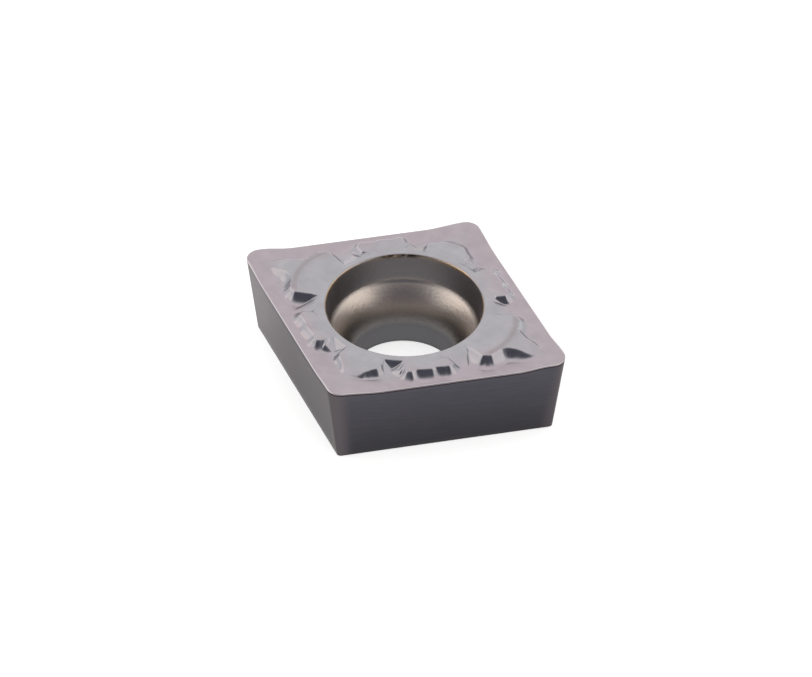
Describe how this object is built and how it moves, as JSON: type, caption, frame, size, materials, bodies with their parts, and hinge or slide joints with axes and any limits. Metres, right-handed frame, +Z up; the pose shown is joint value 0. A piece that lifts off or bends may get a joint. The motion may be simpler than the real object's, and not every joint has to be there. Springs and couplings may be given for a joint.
{
  "type": "carbide insert",
  "caption": "Indexable cutting insert, an 80 degree rhombus with positive flanks, a moulded chip breaker round its upper face and a countersunk hole for a clamping screw.",
  "frame": {"origin": "centre of the seating face, on the axis of the screw hole", "axes": "+Z up through the hole to the chip breaker's side, +X to an 80 degree nose, +Y to a 100 degree nose"},
  "size_m": [0.0094, 0.008, 0.0025],
  "materials": {
    "coated_carbide": "satin, a thin hard vapour-deposited coating on sintered and ground carbide"
  },
  "bodies": {
    "root": {"insert_body": "coated_carbide"}
  },
  "joints": []
}
